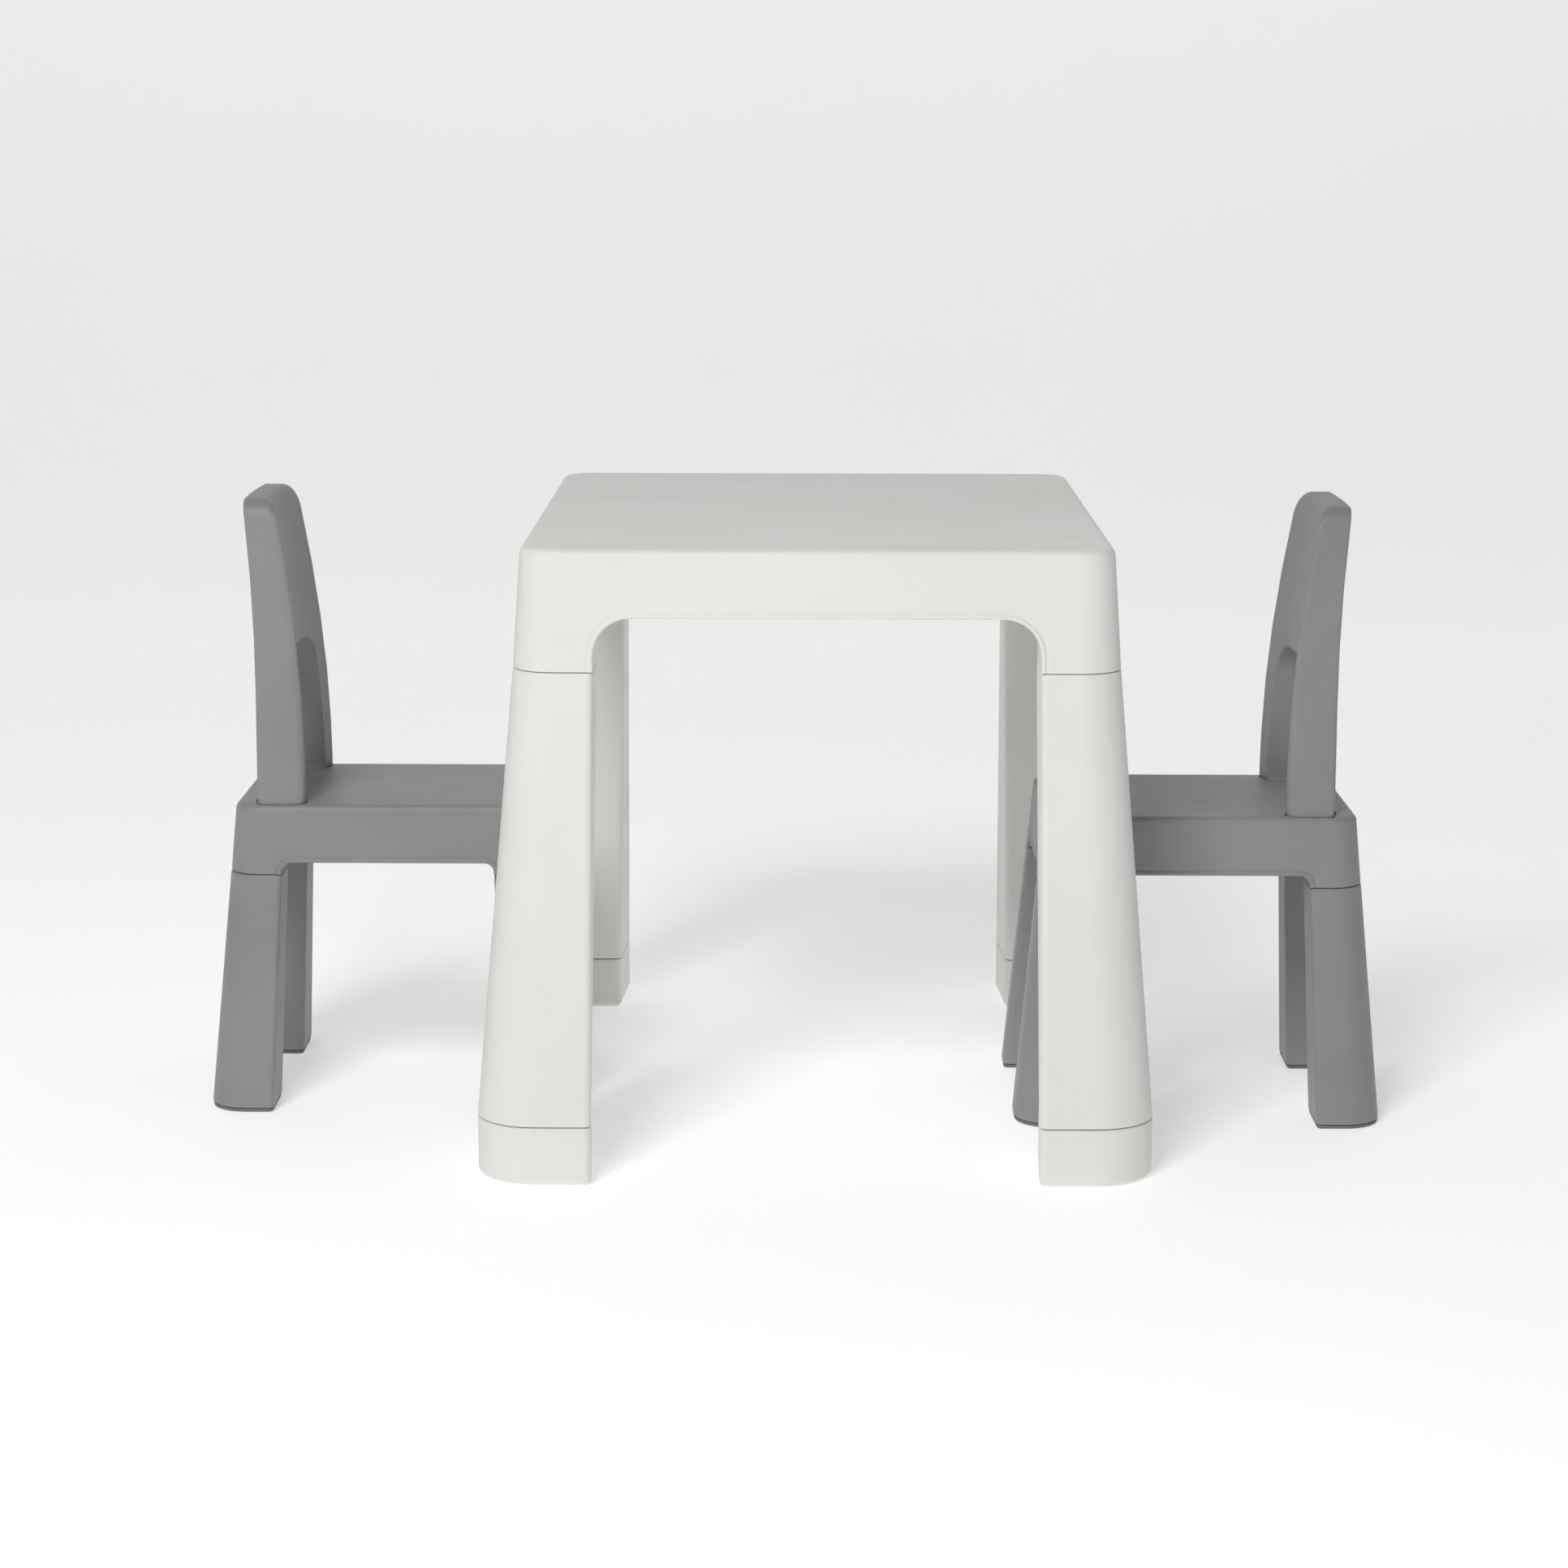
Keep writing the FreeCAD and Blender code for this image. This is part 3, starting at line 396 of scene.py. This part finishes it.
                    # the walls end inside the skirt, halfway through its thickness
                    lean = self.flare * (self.height - height) / (self.height - self.joint)
                    far_x, far_y = (half + lean - wall / 2 - short for half in self.half)
                    plan = [(far_x, near_y), *bend, (near_x, far_y), (near_x + wall, far_y),
                            (near_x + wall, near_y + wall), (far_x, near_y + wall)]
                    rings.append(level([(x * sign_x, y * sign_y) for x, y in plan], height))
                made = self.shell.rows(rings)
                self.shell.cap(made[0])
                self.shell.cap(made[-1])

    def ribs(self, depth, pitch, count_x, count_y):
        """Thin ribs under the deck, a little thinner at their lower edge."""
        high, low = self.height - self.wall / 2, self.height - self.wall - depth
        for across, count in ((0, count_x), (1, count_y)):
            reach = self.half[1 - across] - self.wall / 2
            for index in range(count):
                place = pitch * (index - (count - 1) / 2)
                rings = []
                for height, half in ((low, 0.7), (low + 0.5, 0.95), (high, 1.3)):
                    plan = [(place - half, -reach), (place + half, -reach), (place + half, reach),
                            (place - half, reach)]
                    if across:
                        plan = [(y, x) for x, y in plan]
                    rings.append(level(plan, height))
                made = self.shell.rows(rings)
                self.shell.cap(made[0])
                self.shell.cap(made[-1])

    def build(self):
        self.faces(False)
        self.faces(True)
        self.lips()
        return self.shell


def cut(piece, cutters):
    """Take shapes out of a piece for good."""
    for cutter in cutters:
        modifier = piece.modifiers.new("cut", "BOOLEAN")
        modifier.object = cutter
        modifier.solver = "EXACT"
    graph = bpy.context.evaluated_depsgraph_get()
    mesh = bpy.data.meshes.new_from_object(piece.evaluated_get(graph))
    piece.modifiers.clear()
    piece.data = mesh
    mesh.set_sharp_from_angle(angle=math.radians(40))
    for cutter in cutters:
        bpy.data.objects.remove(cutter)


# ---------------------------------------------------------------- table

TABLE = {"half_x": 232, "half_y": 294.5, "height": 500, "joint": 404, "flare": 6.4, "corner": 27, "edge": 6,
         "skirt": 446, "arch": 29, "leg": 64.5, "wall": 4, "lip": 1.0}
LOWER_JOINT = 47

table = MouldedTop(**TABLE)
table.build()
table.stubs()
table.ribs(22, 88, 3, 5)
table.shell.finish("table_top_shell", WHITE, "table_white", "tabletop", "top", (TABLE_X, 0, 0))

for corner, sign_x, sign_y, turn in CORNERS:
    reach_x, reach_y = TABLE["half_x"] + TABLE["flare"], TABLE["half_y"] + TABLE["flare"]
    place = (TABLE_X + sign_x * reach_x, sign_y * reach_y, turn)
    leg = tapered_leg(TABLE_LEG, TABLE["joint"], LOWER_JOINT, wall=3.2, soft=2.5, plug=(10.9, 60.0, 22.5),
                      plug_height=38, open_end=True)
    leg.finish(f"leg_shell_{corner}", WHITE, "table_white", f"table_leg_{corner}", "legs", place)
    foot = foot_extension()
    foot.finish(f"foot_shell_{corner}", WHITE, "table_white", f"foot_extension_{corner}", "feet", place)


# ---------------------------------------------------------------- chairs

BACK = {"base": 258.4, "top": 513, "front": -66, "rear": -113, "front_bend": 280, "rear_bend": 350,
        "front_lean": 20, "rear_lean": 9}
# half widths of the backrest and of its hand hole: low ones at WIDTHS_AT, the others at the two tops
HALF_LOW, HALF_TOP, HOLE_LOW, HOLE_TOP, HOLE_Z, WIDTHS_AT = 97, 70, 72, 61, 381, 249.5
HOLLOW_DEPTH, HOLLOW_RADIUS = 16, 302
# the middle of the plug under each post
PLUG_X, PLUG_Y = (BACK["front"] + BACK["rear"]) / 2, (HALF_LOW + HOLE_LOW) / 2


def leaning(face, bend, lean, height):
    """A face that is upright up to its bend and then follows an arc back to its full lean at the top."""
    rise = max(height - bend, 0.0)
    full = BACK["top"] - bend
    radius = (full * full + lean * lean) / (2 * lean)
    return face - (radius - math.sqrt(radius * radius - rise * rise))


def front_x(y, z):
    """Front face of the backrest, hollowed across to fit a child's back."""
    hollow = HOLLOW_DEPTH - (HOLLOW_RADIUS - math.sqrt(HOLLOW_RADIUS ** 2 - min(abs(y), HALF_LOW) ** 2))
    return leaning(BACK["front"], BACK["front_bend"], BACK["front_lean"], z) - hollow


def rear_x(y, z):
    return leaning(BACK["rear"], BACK["rear_bend"], BACK["rear_lean"], z) + 4 * (y / HALF_LOW) ** 2


def half_width(z):
    return HALF_LOW + (HALF_TOP - HALF_LOW) * (z - WIDTHS_AT) / (BACK["top"] - WIDTHS_AT)


def hole_half(z):
    return HOLE_LOW + (HOLE_TOP - HOLE_LOW) * (z - WIDTHS_AT) / (HOLE_Z - WIDTHS_AT)


def arch_line(half_at, top, radius, heights, corner_steps, top_steps):
    """Half of an arch from the foot to the middle of its top, as (y, z) at fixed counts."""
    slope = math.atan2(half_at(0) - half_at(100), 100)
    turn = math.pi / 2 - slope
    run = radius * math.tan(turn / 2)
    start_z = top - run * math.cos(slope)
    middle = (half_at(top) - run, top - radius)
    base = BACK["base"]
    levels = [base + (start_z - base) * share for share in heights]
    points = [(half_at(height), height) for height in levels]
    for step in range(1, corner_steps + 1):
        angle = slope + turn * step / corner_steps
        points.append((middle[0] + radius * math.cos(angle), middle[1] + radius * math.sin(angle)))
    for step in range(1, top_steps + 1):
        points.append((middle[0] * (1 - step / top_steps), top))
    return points


def backrest():
    """Backrest with its hand hole, swept from one post's foot over the top to the other's."""
    heights = (0, 0.012, 0.05, 0.2, 0.4, 0.6, 0.8, 1)
    inner = arch_line(hole_half, HOLE_Z, 30, heights, 10, 8)
    outer = arch_line(half_width, BACK["top"], 16, heights, 10, 8)
    inner += [(-y, z) for y, z in inner[-2::-1]]
    outer += [(-y, z) for y, z in outer[-2::-1]]
    shell = Shell()
    rings = []
    for index, (near, far) in enumerate(zip(inner, outer)):
        near, far = np.array(near), np.array(far)
        width = float(np.linalg.norm(far - near))
        high = float(np.clip((far[1] - 300) / 180, 0, 1))
        soften = min(index, len(inner) - 1 - index)
        extra = (1.0, 0.25, 0.0)[min(soften, 2)]
        front_out, rear_out = 9.5 - 2.0 * high, 3.2
        front_in, rear_in = 3.0, 2.5
        edges = []
        for radius, outside in ((front_in, False), (front_out, True), (rear_out, True), (rear_in, False)):
            edge = []
            for angle in np.radians(np.linspace(0, 90, 9)):
                along, inward = radius * (1 - math.sin(angle)), radius * (1 - math.cos(angle))
                edge.append((width - along if outside else along, inward))
            edges.append(sorted(edge))
        shares = (0.08, 0.2, 0.35, 0.5, 0.65, 0.8, 0.92)
        front_flat = [(front_in + (width - front_in - front_out) * share, 0.0) for share in shares]
        rear_flat = [(rear_in + (width - rear_in - rear_out) * share, 0.0) for share in shares]
        front = edges[0] + front_flat + edges[1]
        rear = edges[3] + rear_flat + edges[2]
        section = [(*point, True) for point in front] + [(*point, False) for point in reversed(rear)]
        ring = []
        for along, inward, forward in section:
            y, z = near + (far - near) * along / width
            shrink = extra if along > width / 2 else -extra
            y -= math.copysign(shrink, y) if soften < 2 else 0
            face = front_x(y, z) if forward else rear_x(y, z)
            depth = inward + extra
            ring.append((face - depth if forward else face + depth, y, z))
        rings.append(ring)
    made = shell.rows(rings)
    shell.cap(made[0])
    shell.cap(made[-1])
    # plugs under the two posts
    half_x, half_y = 13.5, 7
    for sign in (1, -1):
        middle_y = sign * PLUG_Y
        plan = [(PLUG_X - half_x, middle_y - half_y), (PLUG_X + half_x, middle_y - half_y),
                (PLUG_X + half_x, middle_y + half_y), (PLUG_X - half_x, middle_y + half_y)]
        rings = []
        for height, inset in ((262, 0), (237.2, 0), (236.2, 0.5), (236, 1.4)):
            drawn = [(x + math.copysign(inset, PLUG_X - x), y + math.copysign(inset, middle_y - y))
                     for x, y in plan]
            rings.append(level(outline(drawn, [2, 2, 2, 2], steps=4, guard=0.5), height))
        made = shell.rows(rings)
        shell.cap(made[0])
        shell.cap(made[-1])
    return shell


def post_cutters(place):
    """What the posts' rebates and slots take out of the seat's deck."""
    cutters = []
    for sign in (1, -1):
        # the rebate's sides keep a narrow gap round the post, and its front slants with the post's hollow
        front_in, front_out = front_x(71, 258) + 0.4, front_x(97, 258) + 0.4
        post = [(-113.4, 70.6), (front_in, 70.6), (front_out, 97.0), (-109.4, 97.0)]
        slot = [(-103.6, 76.9), (-75.4, 76.9), (-75.4, 92.1), (-103.6, 92.1)]
        for label, corners, radii, path in (
                ("rebate", post, (3.2, 3.4, 9.5, 3.6), ((258, 0), (259.0, 0), (259.6, 0.35), (262, 0.4))),
                ("slot", slot, (2.6, 2.6, 2.6, 2.6), ((250, 0), (259, 0)))):
            middle = np.mean(corners, axis=0)
            shell = Shell()
            rings = []
            for height, grow in path:
                plan = [(x + math.copysign(grow, x - middle[0]), y + math.copysign(grow, y - middle[1]))
                        for x, y in corners]
                ring = outline(plan, [radius + grow for radius in radii], steps=5, guard=0.4)
                ring = [(x, y * sign) for x, y in ring]
                rings.append(level(ring, height))
            made = shell.rows(rings)
            shell.cap(made[0])
            shell.cap(made[-1])
            cutters.append(shell.finish(f"cutter_{label}", GREY, None, None, None, place))
    return cutters


SEAT = {"half_x": 129, "half_y": 99.5, "height": 259.5, "joint": 201, "flare": 5.6, "corner": 22, "edge": 5,
        "skirt": 211, "arch": 8, "leg": 45.5, "wall": 3.5, "lip": 1.0}
PAD_THICKNESS = 3

for side, place in CHAIRS.items():
    body, node = f"{side}_chair", f"{side}_chair_seat"
    seat = MouldedTop(**SEAT)
    seat.build()
    piece = seat.shell.finish(f"{side}_seat_shell", GREY, "chair_grey", node, body, place)
    cut(piece, post_cutters(place))
    seat.shell = Shell()
    seat.stubs()
    seat.ribs(14, 44, 3, 2)
    seat.shell.finish(f"{side}_seat_underside", GREY, "chair_grey", node, body, place)
    back = backrest()
    back.finish(f"{side}_back_shell", GREY, "chair_grey", f"{side}_chair_backrest", f"{side}_backrest", place)
    x, y, _ = place
    reach_x, reach_y = SEAT["half_x"] + SEAT["flare"], SEAT["half_y"] + SEAT["flare"]
    for corner, sign_x, sign_y, turn in CORNERS:
        leg_place = (x + sign_x * reach_x, y + sign_y * reach_y, turn)
        # a chair leg runs down to its pad
        leg = tapered_leg(CHAIR_LEG, SEAT["joint"], PAD_THICKNESS, wall=2.8, soft=2.0, plug=(7.6, 41.5, 18),
                          plug_height=24, open_end=False)
        node = f"{side}_chair_leg_{corner}"
        leg.finish(f"{side}_leg_shell_{corner}", GREY, "chair_grey", node, body, leg_place)
        node = f"{side}_chair_pad_{corner}"
        pad().finish(f"{side}_pad_shell_{corner}", RUBBER, "pad_rubber", node, body, leg_place)


# ---------------------------------------------------------------- floor, light, camera

def floor_material():
    material = bpy.data.materials.new("floor")
    material.use_nodes = True
    nodes, links = material.node_tree.nodes, material.node_tree.links
    shader = nodes["Principled BSDF"]
    place = nodes.new("ShaderNodeTexCoord")
    texture = nodes.new("ShaderNodeTexNoise")
    texture.inputs["Scale"].default_value = 3.0
    links.new(place.outputs["Object"], texture.inputs["Vector"])
    ramp = nodes.new("ShaderNodeValToRGB")
    ramp.color_ramp.elements[0].color = (0.90, 0.90, 0.895, 1)
    ramp.color_ramp.elements[1].color = (0.92, 0.92, 0.915, 1)
    links.new(texture.outputs["Fac"], ramp.inputs["Fac"])
    links.new(ramp.outputs["Color"], shader.inputs["Base Color"])
    shader.inputs["Roughness"].default_value = 0.9
    shader.inputs["Emission Color"].default_value = (1, 1, 1, 1)
    shader.inputs["Emission Strength"].default_value = 0.36
    return material


floor_shell = Shell()
span = 9000
sweep = [(-span, 0), (2600, 0)]
sweep += [(2600 + 1500 * math.sin(math.radians(angle)), 1500 - 1500 * math.cos(math.radians(angle)))
          for angle in range(10, 91, 10)]
sweep += [(4100, 7000)]
floor_shell.rows([[(-span, y, z), (span, y, z)] for y, z in sweep], closed=False)
floor = floor_shell.finish("floor", floor_material(), None, None, None)


def area_light(name, place, target, width, height, power, colour=(1, 1, 1)):
    data = bpy.data.lights.new(name, "AREA")
    data.shape = "RECTANGLE"
    data.size, data.size_y, data.energy, data.color = width, height, power, colour
    light = bpy.data.objects.new(name, data)
    light.location = place
    aim = np.array(target, float) - np.array(place, float)
    aim /= np.linalg.norm(aim)
    light.rotation_euler = (math.acos(-aim[2]), 0, math.atan2(aim[1], aim[0]) - math.pi / 2)
    bpy.context.scene.collection.objects.link(light)


area_light("key", (-0.95, -2.9, 2.75), (0, 0, 0.3), 1.2, 1.2, 75, (1, 0.98, 0.985))
world = bpy.data.worlds.new("studio")
world.use_nodes = True
world.node_tree.nodes["Background"].inputs["Color"].default_value = (0.96, 1.0, 0.95, 1)
world.node_tree.nodes["Background"].inputs["Strength"].default_value = 0.22
bpy.context.scene.world = world
bpy.context.scene.view_settings.view_transform = "Standard"

camera_data = bpy.data.cameras.new("camera")
camera_data.sensor_width = 36
camera_data.lens = 83.851
camera_data.clip_end = 50
camera = bpy.data.objects.new("camera", camera_data)
yaw, pitch, roll = -0.0044, 0.1856, 0.0025
camera.location = ((-13.1 + TABLE_X) * MM, -3098.2 * MM, 842.3 * MM)
aim = Matrix.Rotation(-yaw, 3, "Z") @ Matrix.Rotation(math.pi / 2 - pitch, 3, "X")
camera.rotation_euler = (aim @ Matrix.Rotation(roll, 3, "Z")).to_euler()
bpy.context.scene.collection.objects.link(camera)
bpy.context.scene.camera = camera
